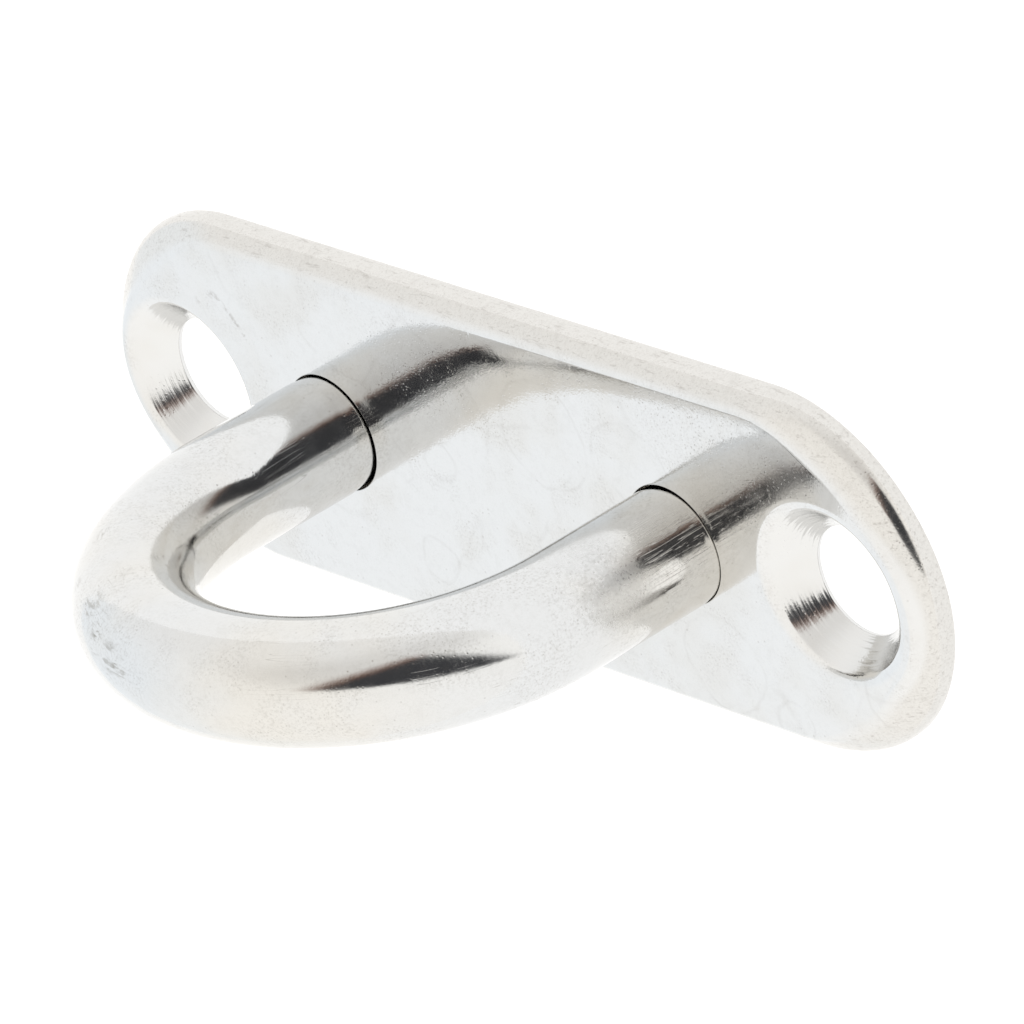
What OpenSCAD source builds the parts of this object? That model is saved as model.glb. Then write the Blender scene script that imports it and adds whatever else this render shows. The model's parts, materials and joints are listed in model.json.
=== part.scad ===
// Oblong pad eye: a flat plate with two countersunk screw holes, and a round bar bent
// into a U whose legs pass through the plate and are welded behind it.
// Millimetres. The back of the plate lies on Z = 0, the eye stands up along +Z, and the
// plate's length runs along X. The origin is the middle of the plate's back.

/* [Base plate] */
// Width of the plate, which is also the diameter of its round ends
plate_width = 18.4; // [14:0.2:26]
// Thickness of the plate
plate_thickness = 2; // [1.8:0.1:4]
// Radius of the rounded front edge
front_edge_radius = 0.8; // [0.4:0.1:1]
// Radius of the broken back edge
back_edge_radius = 0.3; // [0.1:0.1:0.4]

/* [Screw holes] */
// Diameter of the screw holes
hole_diameter = 5.5; // [5:0.1:6.5]
// Diameter of the countersink at the face, before its lip is rounded
countersink_diameter = 8.9; // [7.5:0.1:9.4]
// Full angle of the countersink
countersink_angle = 90; // [82:1:100]
// Radius of the polished lip round the countersink
lip_radius = 0.5; // [0.2:0.1:0.8]
// Distance from the outside of a leg to the middle of the screw hole beside it
leg_to_hole = 7.5; // [6.5:0.1:15]
// Distance from the middle of a screw hole to the end of the plate
hole_to_end = 5.8; // [5.8:0.1:10]

/* [Eye bow] */
// Diameter of the round bar
bar_diameter = 6; // [4:0.1:8]
// Clear width between the legs
eye_width = 18; // [8:0.2:40]
// Straight length of each leg above the plate, below the half-round crown
leg_height = 7; // [1:0.2:30]
// Chamfer on the end of each leg
leg_chamfer = 0.4; // [0.2:0.1:0.5]

/* [Leg holes and welds] */
// Gap all round between a leg and its hole in the plate
leg_clearance = 0.15; // [0.05:0.01:0.3]
// Depth of the weld groove, measured from the back of the plate
groove_depth = 1; // [0.9:0.1:1.4]
// Width of the weld groove at the back of the plate, outside the leg hole
groove_width = 1.1; // [0.6:0.1:1.4]
// Weld metal between the end of a leg and the back of the plate
weld_cap = 0.5; // [0.2:0.1:0.6]

/* [Hidden] */
$fn = 96;
past = 1;                                   // how far a cutter runs past the face it cuts
bar_radius = bar_diameter / 2;
leg_x = eye_width / 2 + bar_radius;         // centre line of each leg
leg_hole_radius = bar_radius + leg_clearance;
groove_radius = leg_hole_radius + groove_width;
crown_z = plate_thickness + leg_height;     // centre of the half-round crown
hole_radius = hole_diameter / 2;
hole_x = leg_x + bar_radius + leg_to_hole;  // centre of each screw hole
cone_radius = countersink_diameter / 2;
cone_slope = tan(countersink_angle / 2);    // radius gained for each millimetre of height
cone_depth = (cone_radius - hole_radius) / cone_slope;
lip_tangent = lip_radius * tan((90 - countersink_angle / 2) / 2);
end_radius = plate_width / 2;
end_x = hole_x + hole_to_end - end_radius;  // centre of each round end

// Half of the plate's cross-section: a slab of half-width w with a rounded front edge and
// a broken back edge.
module edge_section(w) {
    translate([0, back_edge_radius])
        square([w, plate_thickness - front_edge_radius - back_edge_radius]);
    square([w - front_edge_radius, plate_thickness]);
    square([w - back_edge_radius, plate_thickness - front_edge_radius]);
    translate([w - front_edge_radius, plate_thickness - front_edge_radius])
        circle(front_edge_radius);
    translate([w - back_edge_radius, back_edge_radius])
        circle(back_edge_radius);
}

// The plate before it is drilled: a straight middle and two half-round ends.
module plate_blank() {
    translate([-end_x, 0, 0])
        rotate([90, 0, 90])
            linear_extrude(2 * end_x) {
                edge_section(end_radius);
                mirror([1, 0]) edge_section(end_radius);
            }
    for (side = [0, 180])
        rotate([0, 0, side])
            translate([end_x, 0, 0])
                rotate([0, 0, -90])
                    rotate_extrude(angle = 180)
                        edge_section(end_radius);
}

// What the drill, the countersink and the polishing wheel take away at one screw hole.
module screw_hole_cut() {
    translate([0, 0, -past])
        cylinder(r = hole_radius, h = plate_thickness + 2 * past);
    translate([0, 0, plate_thickness - cone_depth])
        cylinder(r1 = hole_radius, r2 = cone_radius + past * cone_slope,
                 h = cone_depth + past);
    lip_cut();
}

// The ring above the rounded lip, where the countersink runs out into the plate's face.
module lip_cut() {
    lip_x = cone_radius + lip_tangent;
    foot_x = lip_x - lip_radius * cos(countersink_angle / 2);
    foot_z = plate_thickness - lip_radius * (1 - sin(countersink_angle / 2));
    rotate_extrude()
        difference() {
            polygon([[foot_x, foot_z], [lip_x, plate_thickness],
                     [lip_x, plate_thickness + past], [hole_radius, plate_thickness + past],
                     [hole_radius, foot_z]]);
            translate([lip_x, plate_thickness - lip_radius])
                circle(lip_radius);
        }
}

// The hole for one leg, with the groove that its weld fills.
module leg_hole_cut() {
    translate([0, 0, -past])
        cylinder(r = leg_hole_radius, h = plate_thickness + 2 * past);
    weld_groove();
}

// The cone that the weld groove cuts from the back of the plate.
module weld_groove() {
    cylinder(r1 = groove_radius, r2 = leg_hole_radius, h = groove_depth);
}

module base_plate() {
    color("gainsboro")
        difference() {
            plate_blank();
            for (side = [-1, 1]) {
                translate([side * hole_x, 0, 0]) screw_hole_cut();
                translate([side * leg_x, 0, 0]) leg_hole_cut();
            }
        }
}

// One straight leg, from its chamfered end inside the weld to the foot of the crown.
module leg() {
    translate([0, 0, weld_cap])
        cylinder(r1 = bar_radius - leg_chamfer, r2 = bar_radius, h = leg_chamfer);
    translate([0, 0, weld_cap + leg_chamfer])
        cylinder(r = bar_radius, h = crown_z - weld_cap - leg_chamfer);
}

module eye_bow() {
    color("silver") {
        for (side = [-1, 1])
            translate([side * leg_x, 0, 0]) leg();
        translate([0, 0, crown_z])
            rotate([90, 0, 0])
                rotate_extrude(angle = 180)
                    translate([leg_x, 0]) circle(bar_radius);
    }
}

// Weld metal that fills the groove and covers the end of one leg, ground flush.
module weld() {
    color("darkgray")
        difference() {
            weld_groove();
            leg();
        }
}

module weld_left() {
    translate([-leg_x, 0, 0]) weld();
}

module weld_right() {
    translate([leg_x, 0, 0]) weld();
}

base_plate();
eye_bow();
weld_left();
weld_right();
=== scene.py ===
import json
import math

import bpy
import numpy as np
from mathutils import Matrix, Vector


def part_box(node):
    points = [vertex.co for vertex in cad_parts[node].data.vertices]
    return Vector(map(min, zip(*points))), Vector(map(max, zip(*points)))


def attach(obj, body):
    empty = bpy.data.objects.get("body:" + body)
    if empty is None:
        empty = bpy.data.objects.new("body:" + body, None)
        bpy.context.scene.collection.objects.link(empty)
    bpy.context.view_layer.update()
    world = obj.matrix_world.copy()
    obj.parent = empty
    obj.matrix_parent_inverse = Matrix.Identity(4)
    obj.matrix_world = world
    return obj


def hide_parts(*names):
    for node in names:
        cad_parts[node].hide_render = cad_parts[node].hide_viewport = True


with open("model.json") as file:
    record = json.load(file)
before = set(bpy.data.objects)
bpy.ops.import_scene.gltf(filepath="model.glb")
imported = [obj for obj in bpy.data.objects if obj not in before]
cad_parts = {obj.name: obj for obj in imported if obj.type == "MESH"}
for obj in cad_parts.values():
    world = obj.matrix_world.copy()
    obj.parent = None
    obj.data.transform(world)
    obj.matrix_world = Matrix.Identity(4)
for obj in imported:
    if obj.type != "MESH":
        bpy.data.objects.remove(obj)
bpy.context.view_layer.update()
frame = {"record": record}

# A polished stainless pad eye: an oblong plate, a bent round bar through it, and the two
# welds that hold the bar from behind. Shapes are worked out in millimetres and put into
# the meshes in metres.

MM = 0.001
BODY = "root"

# ---------------------------------------------------------------- sizes, in millimetres

plate_low, plate_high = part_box("base_plate")
bow_low, bow_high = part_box("eye_bow")
weld_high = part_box("weld_right")[1]
mounts = {mount["name"]: mount for mount in frame["record"]["mounts"]}

PLATE_LENGTH = (plate_high[0] - plate_low[0]) / MM
PLATE_WIDTH = (plate_high[1] - plate_low[1]) / MM
PLATE_THICKNESS = plate_high[2] / MM
END_RADIUS = PLATE_WIDTH / 2
ROUND_END_X = PLATE_LENGTH / 2 - END_RADIUS   # centre of the plate's round end
BACK_EDGE = 0.3                               # radius of the broken back edge
HOLE_EDGE = 0.05                              # radius of the broken edges of the holes
LONG_SIDE_SHARE = 0.52                        # width of the front edge along the long sides
ROLL_WIDTH = 1.5                              # how far in the face is rolled by buffing
ROLL_DROP = 0.058                             # how far it is lowered at the crease

HOLE_X = mounts["screw_hole_right"]["pos_m"][0] / MM
HOLE_RADIUS = mounts["screw_hole_right"]["dims"]["r_mm"]
COUNTERSINK_RADIUS = 4.75                     # out to the outer side of its rounded lip

BAR_RADIUS = (bow_high[1] - bow_low[1]) / MM / 2
LEG_X = bow_high[0] / MM - BAR_RADIUS         # centre line of a leg
LEG_FOOT_Z = bow_low[2] / MM
CROWN_Z = bow_high[2] / MM - BAR_RADIUS - LEG_X
LEG_CHAMFER = 0.4
LEG_GAP = 0.03                                # between a leg and its hole
LEG_HOLE_RADIUS = BAR_RADIUS + LEG_GAP
WELD_RADIUS = weld_high[0] / MM - LEG_X
WELD_TOP_Z = weld_high[2] / MM

# The plate's skin is made in cells, one round each hole. The cut between two cells lies
# midway between the countersink and a ring drawn this far outside the leg.
CELL_MARGIN = 0.15
CELL_X = (LEG_X + (BAR_RADIUS + CELL_MARGIN) + HOLE_X - COUNTERSINK_RADIUS) / 2


# ---------------------------------------------------------------- surfaces as arrays

def grid_faces(rows, columns, ring):
    """Faces of a grid of points stored row by row. Each face joins a point, the next one in
    its row, and the two beside them in the next row. On a ring the last column joins the
    first."""
    row = (np.arange(rows - 1) * columns)[:, None]
    here = np.arange(columns if ring else columns - 1)[None, :]
    there = (here + 1) % columns
    corners = [row + here, row + there, row + columns + there, row + columns + here]
    return np.stack(corners, axis=-1).reshape(-1, 4)


def arc(centre, radius, start, end, steps):
    """Points on a circle in a section: centre plus radius times the cosine and sine of an
    angle that goes evenly from start to end, in degrees."""
    angle = np.radians(np.linspace(start, end, steps))
    return np.stack([centre[0] + radius * np.cos(angle), centre[1] + radius * np.sin(angle)], 1)


def line(start, end, steps):
    """Points spread evenly from start to end, both included."""
    share = np.linspace(0, 1, steps)[:, None]
    return np.array(start) * (1 - share) + np.array(end) * share


def joined(*runs):
    """Runs of points one after another, with each run's first point dropped where it repeats
    the last point of the run before."""
    return np.concatenate([runs[0]] + [run[1:] for run in runs[1:]])


def weld_points(points, faces):
    """Merges points whose places agree to a millionth of a millimetre, so patches that share
    an edge become one closed skin."""
    _, first, index = np.unique(np.round(points, 6), axis=0, return_index=True,
                                return_inverse=True)
    return points[first], index.reshape(-1)[faces]


def end_fans(count, steps):
    """Triangles that close both ends of a tube made of rings: count points, so many steps to
    a ring, followed by the middle of the first ring and the middle of the last."""
    here = np.arange(steps)
    beside = (here + 1) % steps
    last = count - steps
    first_fan = np.stack([np.full(steps, count), beside, here], 1)
    last_fan = np.stack([np.full(steps, count + 1), last + here, last + beside], 1)
    return first_fan.tolist() + last_fan.tolist()


def rows_between(first, last, shares, height):
    """Rows of points from one ring to another at one height, each row at its share of the
    way between them."""
    flat = first[None] * (1 - shares)[:, None, None] + last[None] * shares[:, None, None]
    return np.concatenate([flat, np.full(flat.shape[:2] + (1,), height)], axis=2)


def make_piece(name, points, faces, caps, material, node):
    """A finished piece: its points go from millimetres to metres, its faces are smooth, and it
    rides on the body and stands for one node of the frame."""
    mesh = bpy.data.meshes.new(name)
    mesh.from_pydata((points * MM).tolist(), [], faces.tolist() + caps)
    mesh.polygons.foreach_set("use_smooth", np.ones(len(mesh.polygons), dtype=bool))
    mesh.materials.append(material)
    mesh.update()
    piece = bpy.data.objects.new(name, mesh)
    bpy.context.scene.collection.objects.link(piece)
    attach(piece, BODY)
    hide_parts(node)
    return piece


# ---------------------------------------------------------------- the plate

CROSS_STEPS = 44          # points across the plate
LONG_STEPS = 64           # points along a straight edge of a leg's cell
SHORT_STEPS = 12          # points along a straight edge of a screw hole's cell
ROUND_STEPS = 120         # points round an end

# The front edge from the crease to the side, in three turns: the way the skin faces at the
# start and at the end, in degrees up from the side, then the turn's length and its steps.
EDGE_TURNS = [(85, 64, 0.60, 11), (64, 57, 1.02, 10), (57, 0, 0.99, 18)]

CORNER_LEAD = 1.0         # how far before the round end the front edge starts to widen
CORNER_LENGTH = 6.0       # and over what length it does
LIP_ROOM = 0.05           # kept free between the front edge and a countersink
SOFT_POWER = 10.0         # sharpness of the soft minimum
ROLL_FOOT_Z = 1.0         # height in the holes that the roll reaches down to


def edge_section():
    """Section of the plate's edge from the crease round to the back, as distance inside the
    outline and height. The skin turns softly out of the rolled face, slowly down a bevel,
    then round a full curve to the side. Each point is the one before it plus a short step
    square to the way the skin faces there. A small quarter circle rounds the back."""
    facing = np.concatenate([np.linspace(start, end, steps + 1)[1:] - (end - start) / steps / 2
                             for start, end, _, steps in EDGE_TURNS])
    step = np.concatenate([np.full(steps, length / steps) for _, _, length, steps in EDGE_TURNS])
    out = np.concatenate([[0], np.cumsum(step * np.sin(np.radians(facing)))])
    drop = np.concatenate([[0], np.cumsum(step * np.cos(np.radians(facing)))])
    front = np.column_stack([out[-1] - out, PLATE_THICKNESS - ROLL_DROP - drop])
    side = line(front[-1], (0, BACK_EDGE), 5)
    back = arc((BACK_EDGE, BACK_EDGE), BACK_EDGE, 180, 270, 8)
    return joined(front, side, back)


EDGE = edge_section()
EDGE_WIDTH = EDGE[0, 0]


def inset_share(x):
    """How wide the plate's edge is at a distance x along the plate, as a share of its greatest
    width. It eases from the long sides' share to one round the corners. Where the countersink
    comes close, the share is a soft minimum with the room between its mouth and the outline,
    measured along a line from the round end's centre."""
    x = np.asarray(x)
    corner = np.clip((x - ROUND_END_X + CORNER_LEAD) / CORNER_LENGTH, 0, 1)
    wide = LONG_SIDE_SHARE + (1 - LONG_SIDE_SHARE) * corner * corner * (3 - 2 * corner)
    cosine = np.clip((x - ROUND_END_X) / END_RADIUS, 0, 1)
    reach = HOLE_X - ROUND_END_X
    mouth = reach * cosine + np.sqrt(COUNTERSINK_RADIUS ** 2 - reach ** 2 * (1 - cosine ** 2))
    room = (END_RADIUS - mouth - LIP_ROOM) / EDGE_WIDTH
    return (wide ** -SOFT_POWER + room ** -SOFT_POWER) ** (-1 / SOFT_POWER)


def rolled(points):
    """The same points, lowered towards the plate's edge as buffing rolls it: nothing further
    than the roll's width inside the crease, and at the crease the roll's full drop, growing
    with the square of the way across. Points lower down the holes move less."""
    x, y, z = np.abs(points[..., 0]), points[..., 1], points[..., 2]
    beyond = np.maximum(x - ROUND_END_X, 0)
    inside = END_RADIUS - np.hypot(beyond, y) - EDGE_WIDTH * inset_share(x)
    across = np.clip(1 - inside / ROLL_WIDTH, 0, 1)
    weight = np.clip((z - ROLL_FOOT_Z) / (PLATE_THICKNESS - ROLL_FOOT_Z), 0, 1)
    lowered = points.copy()
    lowered[..., 2] = z - ROLL_DROP * across ** 2 * weight
    return lowered


def leg_cell_outline(inset):
    """Outline of the half of the plate's middle that holds one leg, as a ring of points: the
    straight edge below, the cut towards the screw hole, the straight edge above and the cut
    down the plate's middle. inset moves the plate's own edges inwards from its outline."""
    half = END_RADIUS - inset * LONG_SIDE_SHARE
    below = line((0, -half), (CELL_X, -half), LONG_STEPS)
    right = line((CELL_X, -half), (CELL_X, half), CROSS_STEPS)
    above = line((CELL_X, half), (0, half), LONG_STEPS)
    left = line((0, half), (0, -half), CROSS_STEPS)
    return joined(below, right, above, left)[:-1]


def screw_cell_outline(inset):
    """Outline of one end of the plate, as a ring of points: the short straight edge below,
    the half-round end, the short straight edge above and the cut towards the leg. Each point
    of the outline moves inwards, square to the outline, by inset times its share."""
    half = END_RADIUS
    below = line((CELL_X, -half), (ROUND_END_X, -half), SHORT_STEPS)
    below[:, 1] += inset * inset_share(below[:, 0])
    around = arc((ROUND_END_X, 0), half, -90, 90, ROUND_STEPS)
    inwards = (np.array([ROUND_END_X, 0]) - around) / half
    around = around + inset * inset_share(around[:, 0])[:, None] * inwards
    above = line((ROUND_END_X, half), (CELL_X, half), SHORT_STEPS)
    above[:, 1] -= inset * inset_share(above[:, 0])
    left = line(above[-1], below[0], CROSS_STEPS)
    return joined(below, around, above, left)[:-1]


def screw_hole_section(cone_angle, foot):
    """Section of a screw hole from the flat face down to the back, as distance from its
    axis and height: the rounded lip, the straight cone, the short wall and a broken edge.
    cone_angle is the cone's slope from the axis in degrees, and foot the height it ends at.
    The lip's radius is the one that brings the mouth to the countersink's full size."""
    lean = math.radians(cone_angle)
    cone_top = HOLE_RADIUS + (PLATE_THICKNESS - foot) * math.tan(lean)
    lip_radius = (COUNTERSINK_RADIUS - cone_top) / math.tan((math.pi / 2 - lean) / 2)
    lip = arc((COUNTERSINK_RADIUS, PLATE_THICKNESS - lip_radius), lip_radius,
              90, 180 - cone_angle, 10)
    cone = line(lip[-1], (HOLE_RADIUS, foot), 84)
    wall = line((HOLE_RADIUS, foot), (HOLE_RADIUS, HOLE_EDGE), 4)
    back = arc((HOLE_RADIUS + HOLE_EDGE, HOLE_EDGE), HOLE_EDGE, 180, 270, 4)
    return joined(lip, cone, wall, back)


def leg_hole_section():
    """Section of a leg's hole: a fine broken edge, the wall, and the flare of the groove that
    the weld fills."""
    wall_top = PLATE_THICKNESS - HOLE_EDGE
    mouth = arc((LEG_HOLE_RADIUS + HOLE_EDGE, wall_top), HOLE_EDGE, 90, 180, 5)
    wall = line((LEG_HOLE_RADIUS, wall_top), (LEG_HOLE_RADIUS, WELD_TOP_Z), 6)
    groove = line((LEG_HOLE_RADIUS, WELD_TOP_Z), (WELD_RADIUS, 0), 6)
    return joined(mouth, wall, groove)


# The turned grooves of a countersink, as waves down its cone: height, pitch, phase, and how
# strongly each follows the drift of a hand-held tool. They keep clear of the wall below this
# height and of the lip by this width.
GROOVE_WAVES = [(0.0022, 0.43, 0.0, 1.0), (0.0020, 0.27, 1.3, 2.0), (0.0012, 0.16, 2.1, -1.0)]
GROOVES_FOOT_Z = 0.25
GROOVES_LIP = 0.45


def machining(section, angle):
    """How far the countersink's turned grooves stand off its cone, for each section point and
    each angle: a sum of sines of the distance down the cone, whose phase drifts a little with
    the angle. There are none on the lip and none on the wall."""
    depth = np.linalg.norm(section - section[0], axis=1)[:, None]
    drift = 0.5 * np.sin(angle + 0.7) + 0.3 * np.sin(3 * angle)
    waves = sum(height * np.sin(2 * math.pi * depth / pitch + phase + follow * drift)
                for height, pitch, phase, follow in GROOVE_WAVES)
    cone = (section[:, 1] > GROOVES_FOOT_Z) & (section[:, 0] < COUNTERSINK_RADIUS - GROOVES_LIP)
    return waves * cone[:, None]


# Where the rows of skin lie, as shares of the way in across the face and out across the back.
FACE_SHARES = np.array([0, 0.01, 0.03, 0.1, 0.2, 0.35, 0.5, 0.65, 0.8, 0.9, 0.97, 0.99])
BACK_SHARES = np.array([0.01, 0.05, 0.2, 0.4, 0.6, 0.8, 0.95, 0.99, 1.0])


def plate_cell(outline, hole_x, section, foot, grooves, shift):
    """One cell of the plate's skin as a closed tube of points: from the crease across the
    flat face straight towards the hole's axis, down through the hole by its section, and out
    across the back. Every row has one point for each point of the outline. grooves scales the
    turned grooves, which stand off at 45 degrees to the axis. shift moves the hole's mouth off
    its axis, less and less down to the height foot."""
    centre = np.array([hole_x, 0.0])
    crease = outline(EDGE_WIDTH)
    towards = crease - centre
    towards = towards / np.linalg.norm(towards, axis=1)[:, None]
    angle = np.arctan2(towards[:, 1], towards[:, 0])[None, :]
    off = machining(section, angle) * grooves * math.sqrt(0.5)
    radius = section[:, 0][:, None] - off
    height = section[:, 1][:, None] + off
    moved = np.clip((section[:, 1] - foot) / (PLATE_THICKNESS - foot), 0, 1)
    centres = centre + moved[:, None, None] * np.array(shift)
    hole = np.concatenate([centres + radius[..., None] * towards[None], height[..., None]],
                          axis=2)
    face = rows_between(crease, hole[0, :, :2], FACE_SHARES, PLATE_THICKNESS)
    back = rows_between(hole[-1, :, :2], outline(EDGE[-1, 0]), BACK_SHARES, 0.0)
    rows = np.concatenate([rolled(np.concatenate([face, hole])), back])
    return rows.reshape(-1, 3), grid_faces(rows.shape[0], rows.shape[1], True)


def rim_strip(outline, columns):
    """A stretch of the plate's edge: the edge section carried along part of the outline. Each
    row is the outline moved inwards by the section's first value, at the section's height."""
    rows = [np.column_stack([outline(inset)[columns], np.full(len(columns), height)])
            for inset, height in EDGE]
    rows = np.array(rows)[::-1]
    return rows.reshape(-1, 3), grid_faces(rows.shape[0], rows.shape[1], False)


# How the holes of each half were cut by hand. The first four belong to the countersink: its
# cone's slope from the axis in degrees, the height the cone ends at, how strong its grooves
# are, and how far its mouth lies off the axis. The last is the same for the leg's hole.
RIGHT_HOLES = {"cone_angle": 41.0, "foot": 0.18, "grooves": 1.0, "shift": (-0.20, 0.13),
               "leg_shift": (-0.04, 0.025)}
LEFT_HOLES = {"cone_angle": 43.5, "foot": 0.22, "grooves": 0.22, "shift": (0.0, 0.0),
              "leg_shift": (-0.03, 0.015)}


def plate_half(cone_angle, foot, grooves, shift, leg_shift):
    """The plate's skin on the +X side: the leg's cell, the screw hole's cell, and the three
    stretches of edge that close them."""
    below = np.arange(LONG_STEPS)
    above = np.arange(LONG_STEPS + CROSS_STEPS - 2, 2 * LONG_STEPS + CROSS_STEPS - 2)
    end = np.arange(2 * SHORT_STEPS + ROUND_STEPS - 2)
    countersink = screw_hole_section(cone_angle, foot)
    return [
        plate_cell(leg_cell_outline, LEG_X, leg_hole_section(), WELD_TOP_Z, 0.0, leg_shift),
        plate_cell(screw_cell_outline, HOLE_X, countersink, foot, grooves, shift),
        rim_strip(leg_cell_outline, below),
        rim_strip(leg_cell_outline, above),
        rim_strip(screw_cell_outline, end),
    ]


def stack(patches):
    """Several patches as one list of points and one of faces."""
    starts = np.cumsum([0] + [len(points) for points, _ in patches[:-1]])
    points = np.concatenate([points for points, _ in patches])
    faces = np.concatenate([faces + start for (_, faces), start in zip(patches, starts)])
    return points, faces


def plate_skin():
    """The whole plate: the +X half, and a second half turned round the Z axis, welded along
    the line between them."""
    right = stack(plate_half(**RIGHT_HOLES))
    points, faces = stack(plate_half(**LEFT_HOLES))
    turned = points * np.array([-1, -1, 1])
    return weld_points(*stack([right, (turned, faces)]))


# ---------------------------------------------------------------- the bow

BAR_STEPS = 112           # points round the bar
RUN_STEPS = 560           # rings along the bar between its chamfers
CHAMFER_MARGIN = 0.05     # from a chamfer to the next ring
NECK_DEPTH = (0.07, 0.04)     # of the left leg and of the right leg
NECK_REACH = (0.95, 0.4)      # how far up the leg each neck eases out
NECK_LIFT = 0.05              # height above the plate where it starts to
NECK_FADE = 0.1               # height above the weld over which it fades out below


def bow_line():
    """Centre line of the bar in the XZ plane, with the direction it runs in and its radius:
    up the left leg, over a half circle and down the right leg. The ends taper over the
    chamfer, and each leg is eased down a little to a neck where it enters the plate."""
    leg = CROWN_Z - LEG_FOOT_Z
    bend = math.pi * LEG_X
    length = 2 * leg + bend
    chamfer = np.linspace(0, LEG_CHAMFER, 3)
    body_start = LEG_CHAMFER + CHAMFER_MARGIN
    body = np.linspace(body_start, length - LEG_CHAMFER - CHAMFER_MARGIN, RUN_STEPS)
    run = np.concatenate([chamfer, body, length - chamfer[::-1]])
    turn = np.clip((run - leg) / LEG_X, 0, math.pi)
    rise = np.minimum(run, leg) - np.maximum(run - leg - bend, 0)
    x = -LEG_X * np.cos(turn)
    z = LEG_FOOT_Z + rise + LEG_X * np.sin(turn)
    end = np.minimum(run, length - run)
    radius = BAR_RADIUS - np.clip(LEG_CHAMFER - end, 0, None)
    left = run < length / 2
    depth = np.where(left, *NECK_DEPTH)
    reach = np.where(left, *NECK_REACH)
    share = np.clip((PLATE_THICKNESS + NECK_LIFT + reach - z) / reach, 0, 1)
    neck = share * share * (3 - 2 * share)
    fade = np.clip((z - WELD_TOP_Z) / NECK_FADE, 0, 1)
    return x, z, turn, radius - depth * neck * fade, run


def bow_skin():
    """The bar: a circle carried along the centre line, square to it. The angle round the
    circle starts on the outside of the bend. Fans close the two ends. The last value gives
    each point's place on the bar before it was bent, for marks that run along the bar."""
    x, z, turn, radius, run = bow_line()
    around = np.linspace(0, 2 * math.pi, BAR_STEPS, endpoint=False)[None, :]
    outwards = radius[:, None] * np.cos(around)
    across = radius[:, None] * np.sin(around)
    points = np.stack([x[:, None] - outwards * np.cos(turn)[:, None],
                       across,
                       z[:, None] + outwards * np.sin(turn)[:, None]], axis=-1)
    points = points.reshape(-1, 3)
    feet = np.array([[x[0], 0, z[0]], [x[-1], 0, z[-1]]])
    straight = np.stack([np.broadcast_to(run[:, None], outwards.shape), outwards, across], -1)
    ends = np.array([[run[0], 0, 0], [run[-1], 0, 0]])
    straight = np.concatenate([straight.reshape(-1, 3), ends])
    faces = grid_faces(len(run), BAR_STEPS, True)
    caps = end_fans(len(points), BAR_STEPS)
    return np.concatenate([points, feet]), faces, caps, straight


# ---------------------------------------------------------------- the welds

WELD_STEPS = 128          # points round a weld
POLE_RADIUS = 0.02        # of the innermost ring, which a fan closes
WELD_EDGE = 0.03          # width and height of the broken edge at the back
GRIND_DEPTH = 0.012       # half the depth of the rings left by grinding
GRIND_PITCH = 0.52        # from one ring to the next
GRIND_GROWTH = 2.0        # distance from the middle where they are fully deep
GRIND_FADE = np.array([0.6, 0.3, 0.0])        # share of them left at the last three points


def weld_skin(centre_x):
    """A weld as a turned solid: its section runs from the middle of the back out to the
    groove's edge, up the groove, in to the leg and down round the leg's end. The back is
    ground flush but keeps shallow rings: one minus the cosine of the distance from the
    middle, growing from nothing there and gone at the edge."""
    spread = np.linspace(POLE_RADIUS, WELD_RADIUS - WELD_EDGE, 40)
    rings = GRIND_DEPTH * (1 - np.cos(2 * math.pi * spread / GRIND_PITCH))
    rings = rings * np.clip(spread / GRIND_GROWTH, 0, 1)
    back = np.column_stack([spread, rings])
    back[-3:, 1] *= GRIND_FADE
    leg_end = BAR_RADIUS - LEG_CHAMFER
    chamfer_top = LEG_FOOT_Z + LEG_CHAMFER
    wall = line((WELD_RADIUS, WELD_EDGE), (LEG_HOLE_RADIUS, WELD_TOP_Z), 5)
    top = line((LEG_HOLE_RADIUS, WELD_TOP_Z), (BAR_RADIUS, WELD_TOP_Z), 3)
    side = line((BAR_RADIUS, WELD_TOP_Z), (BAR_RADIUS, chamfer_top), 2)
    chamfer = line((BAR_RADIUS, chamfer_top), (leg_end, LEG_FOOT_Z), 2)
    floor = line((leg_end, LEG_FOOT_Z), (POLE_RADIUS, LEG_FOOT_Z), 3)
    section = np.concatenate([back, joined(wall, top, side, chamfer, floor)])
    around = np.linspace(0, 2 * math.pi, WELD_STEPS, endpoint=False)[None, :]
    points = np.stack([centre_x + section[:, 0][:, None] * np.cos(around),
                       section[:, 0][:, None] * np.sin(around),
                       np.broadcast_to(section[:, 1][:, None], (len(section), WELD_STEPS))], -1)
    points = points.reshape(-1, 3)
    faces = grid_faces(len(section), WELD_STEPS, True)[:, ::-1]
    poles = np.array([[centre_x, 0, section[0, 1]], [centre_x, 0, section[-1, 1]]])
    caps = end_fans(len(points), WELD_STEPS)
    return np.concatenate([points, poles]), faces, caps


# ---------------------------------------------------------------- finishes

def put(tree, kind, inputs=None, **settings):
    """Adds a node. A value in inputs that is another node's output is linked, and any other
    value is set on the socket."""
    node = tree.nodes.new(kind)
    for name, value in settings.items():
        setattr(node, name, value)
    for name, value in (inputs or {}).items():
        if isinstance(value, bpy.types.NodeSocket):
            tree.links.new(value, node.inputs[name])
        else:
            node.inputs[name].default_value = value
    return node


def calc(tree, operation, *values):
    """One step of arithmetic on numbers."""
    node = put(tree, "ShaderNodeMath", dict(enumerate(values)), operation=operation)
    return node.outputs[0]


def total(tree, *values):
    """The sum of several numbers."""
    result = values[0]
    for value in values[1:]:
        result = calc(tree, "ADD", result, value)
    return result


def product(tree, *values):
    """Several numbers multiplied together."""
    result = values[0]
    for value in values[1:]:
        result = calc(tree, "MULTIPLY", result, value)
    return result


def scaled(tree, *pairs):
    """Several numbers, each multiplied by its own strength."""
    return [product(tree, value, strength) for value, strength in pairs]


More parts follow.
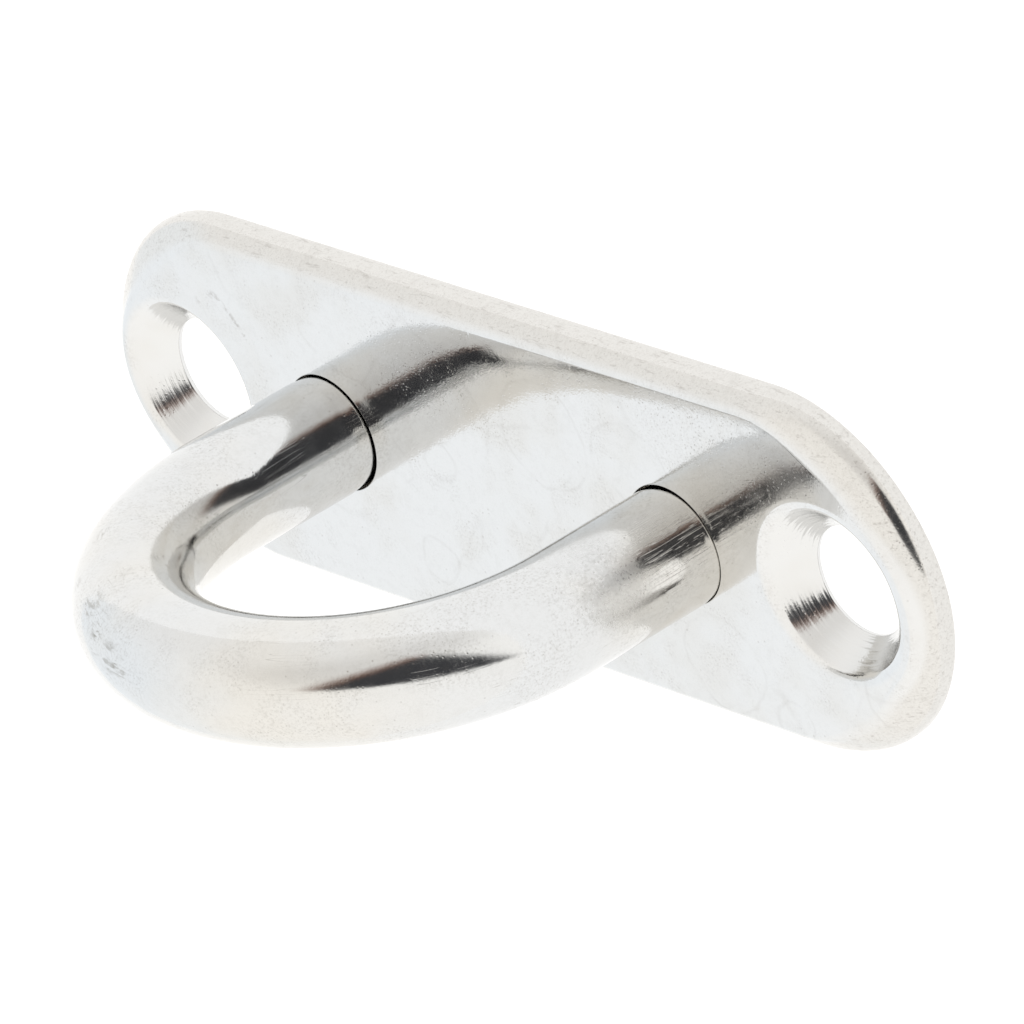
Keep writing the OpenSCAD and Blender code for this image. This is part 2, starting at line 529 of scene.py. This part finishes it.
def remainder(tree, share):
    """What is left of one beside a share."""
    return calc(tree, "SUBTRACT", 1.0, share)


def ease(tree, value, start, end, low=0.0, high=1.0):
    """A number that goes smoothly from low, where value is at start, to high at end, and stays
    there on either side."""
    inputs = {"Value": value, "From Min": start, "From Max": end, "To Min": low, "To Max": high}
    return put(tree, "ShaderNodeMapRange", inputs, interpolation_type="SMOOTHSTEP").outputs[0]


def cloud(tree, place, per_mm, detail=2.0, roughness=0.5, twist=0.0):
    """Soft random patches, about per_mm of them to a millimetre."""
    inputs = {"Vector": place, "Scale": per_mm, "Detail": detail, "Roughness": roughness,
              "Distortion": twist}
    return put(tree, "ShaderNodeTexNoise", inputs).outputs["Fac"]


def stretched(tree, place, scale):
    """The same place with each of its three directions scaled by its own number."""
    return put(tree, "ShaderNodeVectorMath", {0: place, 1: scale}, operation="MULTIPLY").outputs[0]


def distance(tree, place, centre):
    """Distance in millimetres from a point given as centre."""
    node = put(tree, "ShaderNodeVectorMath", {0: place, 1: centre}, operation="DISTANCE")
    return node.outputs["Value"]


def near(tree, place, centre, radius, soft=0.6):
    """A round patch: one at its centre, and gone at radius."""
    return ease(tree, distance(tree, place, centre), radius, radius * (1 - soft))


def ring(tree, place, centre, radius, width):
    """A thin ring round a point: one on a sphere of that radius, and gone a width from it."""
    off = calc(tree, "ABSOLUTE", calc(tree, "SUBTRACT", distance(tree, place, centre), radius))
    return ease(tree, off, width, 0.0)


def pits(tree, place, per_mm, size, share):
    """Tiny pits: a pit sits in some of the cells of a random pattern, a share of them."""
    node = put(tree, "ShaderNodeTexVoronoi", {"Vector": place, "Scale": per_mm})
    pick = put(tree, "ShaderNodeSeparateColor", {0: node.outputs["Color"]})
    chosen = ease(tree, pick.outputs[0], 1 - share, 1 - share * 0.7)
    return product(tree, ease(tree, node.outputs["Distance"], size, 0.0), chosen)


def fine_speckle(tree, place, patchy, least):
    """A fine speckle, at the strength least in plain places and at 1.7 in patchy ones."""
    speckle = ease(tree, cloud(tree, place, 6.5, 2.0, 0.7), 0.42, 0.72)
    return product(tree, speckle, ease(tree, patchy, 0.0, 1.0, least, 1.7))


def thin_lines(tree, noise, width):
    """Thin lines where soft noise crosses its middle value: one on a line, and gone where the
    noise is width away from it."""
    off = calc(tree, "ABSOLUTE", calc(tree, "SUBTRACT", noise, 0.5))
    return ease(tree, off, width, 0.0)


def around_axis(tree, place, axis_x):
    """A place as seen from the nearer of two upright axes, at axis_x and at its opposite: how
    far it lies beside the axis in X and in Y, its height, and its distance from the axis."""
    parts = put(tree, "ShaderNodeSeparateXYZ", {0: place})
    beside = calc(tree, "SUBTRACT", calc(tree, "ABSOLUTE", parts.outputs[0]), axis_x)
    flat_place = put(tree, "ShaderNodeCombineXYZ", {0: beside, 1: parts.outputs[1]}).outputs[0]
    from_axis = put(tree, "ShaderNodeVectorMath", {0: flat_place}, operation="LENGTH")
    return beside, parts.outputs[1], parts.outputs[2], from_axis.outputs["Value"]


def blend(tree, amount, first, second):
    """A colour between two colours."""
    inputs = {0: amount, 6: first, 7: second}
    return put(tree, "ShaderNodeMix", inputs, data_type="RGBA").outputs[2]


def shade(red, green, blue):
    """A colour given by its three parts."""
    return (red, green, blue, 1.0)


def new_finish(name):
    """A new material with its tree, its shader and places on the piece in millimetres."""
    material = bpy.data.materials.new(name)
    material.use_nodes = True
    tree = material.node_tree
    shader = tree.nodes["Principled BSDF"]
    shader.inputs["Metallic"].default_value = 1.0
    metres = put(tree, "ShaderNodeTexCoord").outputs["Object"]
    node = put(tree, "ShaderNodeVectorMath", {0: metres, "Scale": 1 / MM}, operation="SCALE")
    return material, tree, shader, node.outputs[0]


def finish_with(tree, shader, colour, roughness, height):
    """Connects a finish: its colour, its roughness and its relief in thousandths of a
    millimetre."""
    tree.links.new(colour, shader.inputs["Base Color"])
    tree.links.new(roughness, shader.inputs["Roughness"])
    bump = put(tree, "ShaderNodeBump", {"Height": height, "Distance": 0.001 * MM})
    tree.links.new(bump.outputs[0], shader.inputs["Normal"])


def polish(tree, place, wave, peel, grain):
    """Relief that polishing leaves: slow waves, a finer orange peel and a fine grain, each so
    many thousandths of a millimetre deep."""
    waves = product(tree, cloud(tree, place, 0.3, 1.0), wave)
    peels = product(tree, cloud(tree, place, 2.3, 2.0), peel)
    grains = product(tree, cloud(tree, place, 8.0, 2.0, 0.6), grain)
    return total(tree, waves, peels, grains)


# Colours of the steel, cool and warm, and of the marks in it.
PLATE_COOL = shade(0.735, 0.738, 0.736)
PLATE_WARM = shade(0.690, 0.676, 0.648)
PLATE_MARKS = shade(0.31, 0.285, 0.26)
PLATE_GRAIN = shade(0.42, 0.41, 0.40)
BAR_COOL = shade(0.700, 0.709, 0.714)
BAR_WARM = shade(0.714, 0.700, 0.668)
BAR_MARKS = shade(0.295, 0.28, 0.25)
WELD_GREY = shade(0.62, 0.61, 0.59)
WELD_STRAW = shade(0.62, 0.54, 0.42)
WELD_BLUE = shade(0.44, 0.46, 0.54)
WELD_SCORES = shade(0.36, 0.34, 0.32)
WELD_SPECKS = shade(0.2, 0.18, 0.16)

# Depth below the face where the finish of the rim and of the countersinks starts, and where
# it is full.
SUNK_START = 0.03
SUNK_FULL = 0.40
# Distance from a screw hole's axis where the countersink's finish ends and where the rim's
# may start.
SINK_END = 5.2
RIM_START = 5.6
# Height above the back where its own finish starts to fade, and where it is gone.
BACK_START = 0.01
BACK_END = 0.06
DRIED_RING_WIDTH = 0.17
SWIRL_WIDTH = 0.22

# Places in millimetres on the flat face and on the bar.
FACE_Z = PLATE_THICKNESS
DRIED_RINGS = [
    ((-3.6, 0.8, FACE_Z), 1.15),
    ((-5.2, -4.8, FACE_Z), 1.35),
    ((4.6, 4.2, FACE_Z), 2.9),
    ((10.4, 3.7, FACE_Z), 2.6),
    ((18.6, -7.2, FACE_Z), 1.2),
    ((25.6, -4.4, FACE_Z), 1.6),
    ((14.4, -5.2, FACE_Z), 2.6),
]
SWIRL_RING = ((-22.0, 0.5, FACE_Z), 6.7)
SWIRL_PATCH = ((-17.4, 4.9, FACE_Z), 3.2)
PLATE_STAINS = [
    ((-19.4, 5.8, FACE_Z), 0.8),
    ((-16.2, 5.7, FACE_Z), 0.6),
    ((2.6, 4.4, FACE_Z), 0.42),
    ((0.4, -3.0, FACE_Z), 0.40),
    ((-3.8, -5.2, FACE_Z), 0.30),
    ((9.3, 4.5, FACE_Z), 0.42),
    ((-7.5, -0.5, FACE_Z), 0.35),
]
WORN_PATCHES = [
    ((19.5, 5.0, FACE_Z), 5.5),
    ((14.0, 7.4, FACE_Z), 4.0),
    ((-4.5, 5.8, FACE_Z), 4.5),
]
BAR_KNOCKS = [
    ((-8.4, 1.6, 20.2), 0.7),
    ((-9.6, 2.4, 17.6), 0.9),
    ((-6.0, 2.0, 22.0), 1.2),
    ((-4.6, 1.9, 22.6), 0.9),
    ((-4.6, 1.1, 23.0), 0.9),
    ((-3.2, 0.9, 23.5), 1.0),
    ((-2.2, 0.7, 23.8), 0.8),
    ((-5.6, 2.4, 17.5), 0.8),
]
FILED_PATCH = ((14.5, 1.5, 4.0), 2.7)
SCUFFED_PATCH = ((14.2, 1.7, 8.2), 3.6)


def polished_plate():
    """Hand-polished plate: cool bright steel, creamier round its edge, with orange peel, a
    few pits, faint dried rings and small stains, and turned grooves in its countersinks. The
    back keeps the grain of the sheet."""
    material, tree, shader, place = new_finish("polished_plate_steel")
    beside, along, height, from_axis = around_axis(tree, place, HOLE_X)

    # where the rim, the countersinks and the back are
    sunk = ease(tree, height, PLATE_THICKNESS - SUNK_START, PLATE_THICKNESS - SUNK_FULL)
    outside = ease(tree, from_axis, SINK_END, RIM_START)
    back = ease(tree, height, BACK_END, BACK_START)
    sunk = product(tree, sunk, remainder(tree, back))
    rim = product(tree, sunk, outside)
    sink = product(tree, sunk, remainder(tree, outside))

    warm = ease(tree, cloud(tree, place, 0.22, 3.0), 0.42, 0.68, 0.0, 0.55)
    warm = calc(tree, "MAXIMUM", warm, product(tree, rim, 0.8))
    colour = blend(tree, warm, PLATE_COOL, PLATE_WARM)

    # dried rings, left where drops of polish stood, and fine veins between dried patches
    wander = put(tree, "ShaderNodeTexNoise", {"Vector": place, "Scale": 0.5}).outputs["Color"]
    wander = put(tree, "ShaderNodeVectorMath", {0: wander, 1: place}, operation="ADD").outputs[0]
    rings = total(tree, *[ring(tree, wander, centre, radius, DRIED_RING_WIDTH)
                          for centre, radius in DRIED_RINGS])
    rings = product(tree, rings, ease(tree, cloud(tree, place, 0.6), 0.36, 0.6, 0.3))
    cells = put(tree, "ShaderNodeTexVoronoi", {"Vector": wander, "Scale": 0.16},
                feature="DISTANCE_TO_EDGE")
    veins = ease(tree, cells.outputs["Distance"], 0.03, 0.0)
    veins = product(tree, veins, ease(tree, cloud(tree, place, 0.35), 0.48, 0.62))

    # small marks: pits, specks, worn patches and a few stains
    patchy = ease(tree, cloud(tree, place, 0.45, 2.0), 0.46, 0.66)
    patchy = calc(tree, "MAXIMUM", patchy, product(tree, rim, 0.9))
    worn = total(tree, *[near(tree, wander, centre, radius) for centre, radius in WORN_PATCHES])
    patchy = calc(tree, "MAXIMUM", patchy, worn)
    glints = product(tree, pits(tree, place, 7.5, 0.30, 0.34), worn)
    fine_pits = product(tree, pits(tree, place, 7.0, 0.42, 0.5), patchy)
    big_pits = pits(tree, place, 2.4, 0.2, 0.16)
    ragged = ease(tree, cloud(tree, place, 1.6, 3.0, 0.7), 0.44, 0.62)
    stains = total(tree, *[near(tree, wander, centre, radius) for centre, radius in PLATE_STAINS])
    stains = product(tree, stains, ragged)
    swirl = product(tree, ring(tree, wander, *SWIRL_RING, SWIRL_WIDTH),
                    near(tree, place, *SWIRL_PATCH), ragged)
    speckle = fine_speckle(tree, place, patchy, 0.25)
    mottle = ease(tree, cloud(tree, place, 2.2, 4.0, 0.7), 0.46, 0.66)
    dashes = cloud(tree, stretched(tree, place, (0.9, 4.5, 4.5)), 1.0, 3.0, 0.7)
    dashes = product(tree, ease(tree, dashes, 0.56, 0.70), rim)
    marks = total(tree, *scaled(tree, (rings, 0.085), (veins, 0.07), (fine_pits, 0.30),
                                (big_pits, 0.34), (stains, 0.5), (swirl, 0.5),
                                (dashes, 0.30), (mottle, 0.045), (speckle, 0.075)))
    dark = product(tree, marks, remainder(tree, sink))
    colour = blend(tree, dark, colour, PLATE_MARKS)

    # the sheet's rolled grain, which runs along the plate's back
    grain = cloud(tree, stretched(tree, place, (0.25, 7.0, 7.0)), 1.0, 3.0, 0.65)
    grain = product(tree, grain, back)
    colour = blend(tree, ease(tree, grain, 0.56, 0.72, 0.0, 0.5), colour, PLATE_GRAIN)

    # turned grooves: thin rings round the hole's axis, drawn out along the turn
    turning = put(tree, "ShaderNodeCombineXYZ", {0: product(tree, from_axis, 9.0),
                                                 1: product(tree, beside, 0.35),
                                                 2: product(tree, along, 0.35)})
    grooves = product(tree, cloud(tree, turning.outputs[0], 1.0, 2.0, 0.6), sink, 13.0)

    relief = total(tree, polish(tree, place, 14.0, 3.2, 2.2), grooves,
                   *scaled(tree, (grain, 6.0), (glints, 5.0), (fine_pits, -4.0),
                           (big_pits, -5.0), (stains, -1.0)))
    rough = total(tree, ease(tree, cloud(tree, place, 0.8, 3.0), 0.3, 0.7, 0.05, 0.10),
                  *scaled(tree, (sink, 0.08), (rim, 0.06), (dark, 0.3), (glints, 0.40),
                          (back, 0.22)))
    finish_with(tree, shader, colour, rough, relief)
    return material


def polished_bar():
    """Polished round bar: warm bright steel with a fine speckle, faint drawn lines along the
    bar, a few knocks, and near the right leg's foot a patch filed by hand and a scuffed one."""
    material, tree, shader, place = new_finish("polished_bar_steel")
    bar = put(tree, "ShaderNodeAttribute", attribute_name="straight_bar").outputs["Vector"]

    warm = ease(tree, cloud(tree, place, 0.11, 3.0), 0.36, 0.66)
    colour = blend(tree, warm, BAR_COOL, BAR_WARM)

    patchy = ease(tree, cloud(tree, place, 0.3, 2.0), 0.4, 0.62)
    fine_pits = product(tree, pits(tree, place, 6.5, 0.42, 0.55), patchy)
    big_pits = pits(tree, place, 2.6, 0.2, 0.22)
    speckle = fine_speckle(tree, place, patchy, 0.4)
    mottle = ease(tree, cloud(tree, place, 1.9, 4.0, 0.7), 0.46, 0.66)

    # lines along the bar, left by drawing and polishing
    drawn = cloud(tree, stretched(tree, bar, (0.08, 5.0, 5.0)), 1.0, 3.0, 0.6)
    scratch = cloud(tree, stretched(tree, bar, (0.12, 2.6, 2.6)), 1.0, 1.0, 0.5, 0.3)
    scratch = product(tree, thin_lines(tree, scratch, 0.006),
                      ease(tree, cloud(tree, place, 0.4), 0.55, 0.66))

    # the filed and the scuffed patch, and the nicks and knocks
    ragged = cloud(tree, stretched(tree, bar, (0.7, 2.4, 2.4)), 1.0, 3.0, 0.7)
    filed = product(tree, near(tree, place, *FILED_PATCH, 0.5), ease(tree, ragged, 0.40, 0.52))
    file_cuts = cloud(tree, stretched(tree, bar, (0.30, 9.0, 9.0)), 1.0, 1.0, 0.5)
    file_cuts = product(tree, thin_lines(tree, file_cuts, 0.035), filed)
    scuffs = ease(tree, cloud(tree, place, 6.0, 3.0, 0.7), 0.26, 0.52, 0.35)
    scuffed = product(tree, near(tree, place, *SCUFFED_PATCH, 0.7), scuffs)
    knocks = total(tree, *[near(tree, place, centre, radius) for centre, radius in BAR_KNOCKS])
    knocks = product(tree, knocks, ease(tree, ragged, 0.46, 0.60))

    dark = total(tree, *scaled(tree, (fine_pits, 0.36), (big_pits, 0.36), (scratch, 0.30),
                               (knocks, 0.50), (mottle, 0.05), (speckle, 0.12)))
    colour = blend(tree, dark, colour, BAR_MARKS)
    relief = total(tree, polish(tree, place, 8.0, 2.4, 1.2),
                   *scaled(tree, (drawn, 0.7), (fine_pits, -2.5), (big_pits, -5.0),
                           (scratch, -1.5), (knocks, -6.0), (file_cuts, -3.0)))
    rough = total(tree, ease(tree, cloud(tree, place, 0.7, 3.0), 0.3, 0.7, 0.06, 0.12),
                  *scaled(tree, (filed, 0.03), (file_cuts, 0.40), (scuffed, 0.25), (dark, 0.3)))
    finish_with(tree, shader, colour, rough, relief)
    return material


def ground_weld():
    """Weld metal ground nearly flush: grinding lines across it, and the straw and blue tints
    of heat in soft rings."""
    material, tree, shader, place = new_finish("ground_weld_metal")
    _, _, _, from_axis = around_axis(tree, place, LEG_X)
    drift = product(tree, cloud(tree, place, 0.5, 3.0), 1.6)
    reach = calc(tree, "ADD", from_axis, drift)
    straw = ease(tree, reach, 2.2, 3.8)
    blue = product(tree, ease(tree, reach, 3.4, 4.4), 0.7)
    colour = blend(tree, straw, WELD_GREY, WELD_STRAW)
    colour = blend(tree, blue, colour, WELD_BLUE)
    lines = cloud(tree, stretched(tree, place, (9.0, 0.5, 0.5)), 1.0, 3.0, 0.7)
    specks = pits(tree, place, 3.5, 0.3, 0.3)
    colour = blend(tree, ease(tree, lines, 0.50, 0.68, 0.0, 0.55), colour, WELD_SCORES)
    colour = blend(tree, product(tree, specks, 0.5), colour, WELD_SPECKS)
    relief = total(tree, polish(tree, place, 10.0, 8.0, 2.0),
                   *scaled(tree, (lines, 9.0), (specks, -12.0)))
    rough = ease(tree, lines, 0.3, 0.7, 0.24, 0.42)
    finish_with(tree, shader, colour, rough, relief)
    return material


# ---------------------------------------------------------------- the pieces

plate_steel = polished_plate()
bar_steel = polished_bar()
weld_metal = ground_weld()

points, faces = plate_skin()
make_piece("oblong_plate", points, faces, [], plate_steel, "base_plate")
points, faces, caps, straight = bow_skin()
bar = make_piece("bent_bar", points, faces, caps, bar_steel, "eye_bow")
unbent = bar.data.attributes.new("straight_bar", "FLOAT_VECTOR", "POINT")
unbent.data.foreach_set("vector", straight.ravel())
points, faces, caps = weld_skin(-LEG_X)
make_piece("left_weld", points, faces, caps, weld_metal, "weld_left")
points, faces, caps = weld_skin(LEG_X)
make_piece("right_weld", points, faces, caps, weld_metal, "weld_right")

# ---------------------------------------------------------------- camera, in metres

VIEW_AZIMUTH = math.radians(122.0)
VIEW_ELEVATION = math.radians(32.67)
VIEW_ROLL = math.radians(120.75)
VIEW_DISTANCE = 0.4723
VIEW_AIM = Vector((-0.00016, -0.00156, 0.0015))
SENSOR_WIDTH = 36         # in millimetres, like the lens
LENS_LENGTH = 356.14
SIGHT_START = 0.01        # the nearest and the furthest the camera sees
SIGHT_END = 50

view_back = Vector((math.sin(VIEW_AZIMUTH) * math.cos(VIEW_ELEVATION),
                    -math.cos(VIEW_AZIMUTH) * math.cos(VIEW_ELEVATION),
                    math.sin(VIEW_ELEVATION)))
level = Vector((0, 0, 1)).cross(view_back).normalized()
upright = view_back.cross(level)
view_up = upright * math.cos(VIEW_ROLL) + level * math.sin(VIEW_ROLL)
view_right = view_up.cross(view_back)
camera_data = bpy.data.cameras.new("camera")
camera_data.sensor_width = SENSOR_WIDTH
camera_data.lens = LENS_LENGTH
camera_data.clip_start = SIGHT_START
camera_data.clip_end = SIGHT_END
camera = bpy.data.objects.new("camera", camera_data)
axes = Matrix((view_right, view_up, view_back)).transposed()
camera.matrix_world = Matrix.Translation(VIEW_AIM + view_back * VIEW_DISTANCE) @ axes.to_4x4()
bpy.context.scene.collection.objects.link(camera)
bpy.context.scene.camera = camera
bpy.context.scene.view_settings.view_transform = "Standard"

# ---------------------------------------------------------------- floor and light, in metres

FLOOR_Z = -0.05
FLOOR_REACH = 6.0
FLOOR_COLOUR = shade(0.6, 0.6, 0.6)
FLOOR_ROUGHNESS = 0.9
FLOOR_GLOW = 0.55


def pale_floor():
    """White matt floor that glows a little, so it stays clean, and lets light and sight
    through from below."""
    material = bpy.data.materials.new("pale_floor")
    material.use_nodes = True
    tree = material.node_tree
    shader = tree.nodes["Principled BSDF"]
    shader.inputs["Base Color"].default_value = FLOOR_COLOUR
    shader.inputs["Roughness"].default_value = FLOOR_ROUGHNESS
    shader.inputs["Emission Color"].default_value = shade(1.0, 1.0, 1.0)
    shader.inputs["Emission Strength"].default_value = FLOOR_GLOW
    clear = put(tree, "ShaderNodeBsdfTransparent")
    side = put(tree, "ShaderNodeNewGeometry").outputs["Backfacing"]
    mix = put(tree, "ShaderNodeMixShader", {0: side, 1: shader.outputs[0], 2: clear.outputs[0]})
    tree.links.new(mix.outputs[0], tree.nodes["Material Output"].inputs["Surface"])
    return material


floor_mesh = bpy.data.meshes.new("floor")
corners = [(-FLOOR_REACH, -FLOOR_REACH, FLOOR_Z), (FLOOR_REACH, -FLOOR_REACH, FLOOR_Z),
           (FLOOR_REACH, FLOOR_REACH, FLOOR_Z), (-FLOOR_REACH, FLOOR_REACH, FLOOR_Z)]
floor_mesh.from_pydata(corners, [], [(0, 1, 2, 3)])
floor_mesh.materials.append(pale_floor())
floor = bpy.data.objects.new("floor", floor_mesh)
bpy.context.scene.collection.objects.link(floor)

# The studio is a white tent with one opening in it, a soft-edged triangle round the camera.
# Its corners are directions, given as right, up and back of the camera. Each of its edges is
# soft over its own width, and the last one, on the left, has a warm fringe.
OPENING = [(-0.75, -0.31, 1.0), (0.87, -0.37, 1.0), (-0.09, 0.45, 1.0)]
EDGE_SOFTNESS = [0.10, 0.13, 0.20]
FRINGE_WIDTH = 0.17
FRINGE_COLOUR = shade(0.25, 0.14, 0.10)
OPENING_COLOUR = shade(0.057, 0.057, 0.061)
TENT_COLOUR = shade(1.175, 1.150, 1.105)

# Parts of the tent with a colour of their own, one laid over the other: the direction of the
# part's middle, how nearly a direction has to point there for the part to start and to be
# full, and its colour.
TENT_PARTS = {
    "behind": ((0.0, 0.0, -1.0), -0.5, 0.5, shade(1.10, 1.135, 1.165)),
    "below": ((0.0, -1.0, 0.1), 0.2, 0.9, shade(1.23, 1.21, 1.175)),
    "shaded": ((-0.38, 0.42, 0.82), 0.68, 1.0, shade(0.92, 0.90, 0.87)),
    "dull": ((-0.48, 0.86, 0.15), 0.6, 1.0, shade(1.10, 1.085, 1.06)),
    "lit": ((0.85, 0.25, 0.30), 0.55, 0.95, shade(1.26, 1.235, 1.19)),
}


def from_view(right, up, back):
    """A direction given as right, up and back of the camera, in the frame's axes."""
    return (view_right * right + view_up * up + view_back * back).normalized()


def studio():
    """A white tent lit from outside. The opening's three edges are planes through the object:
    a direction is inside the opening as far as it lies on the inner side of all three."""
    world = bpy.data.worlds.new("studio")
    world.use_nodes = True
    tree = world.node_tree
    direction = put(tree, "ShaderNodeTexCoord").outputs["Generated"]

    def towards(right, up, back):
        """How nearly a direction points towards another one."""
        inputs = {0: direction, 1: tuple(from_view(right, up, back))}
        return put(tree, "ShaderNodeVectorMath", inputs, operation="DOT_PRODUCT").outputs["Value"]

    corners = [Vector(corner) for corner in OPENING]
    sides = [towards(*first.cross(second))
             for first, second in zip(corners, corners[1:] + corners[:1])]
    inside = product(tree, *[ease(tree, side, -softness / 2, softness / 2)
                             for side, softness in zip(sides, EDGE_SOFTNESS)])
    depth = ease(tree, sides[-1], 0.0, FRINGE_WIDTH)
    opening = blend(tree, depth, FRINGE_COLOUR, OPENING_COLOUR)
    tent = TENT_COLOUR
    for middle, start, full, colour in TENT_PARTS.values():
        tent = blend(tree, ease(tree, towards(*middle), start, full), tent, colour)
    tree.links.new(blend(tree, inside, tent, opening), tree.nodes["Background"].inputs["Color"])
    return world


bpy.context.scene.world = studio()
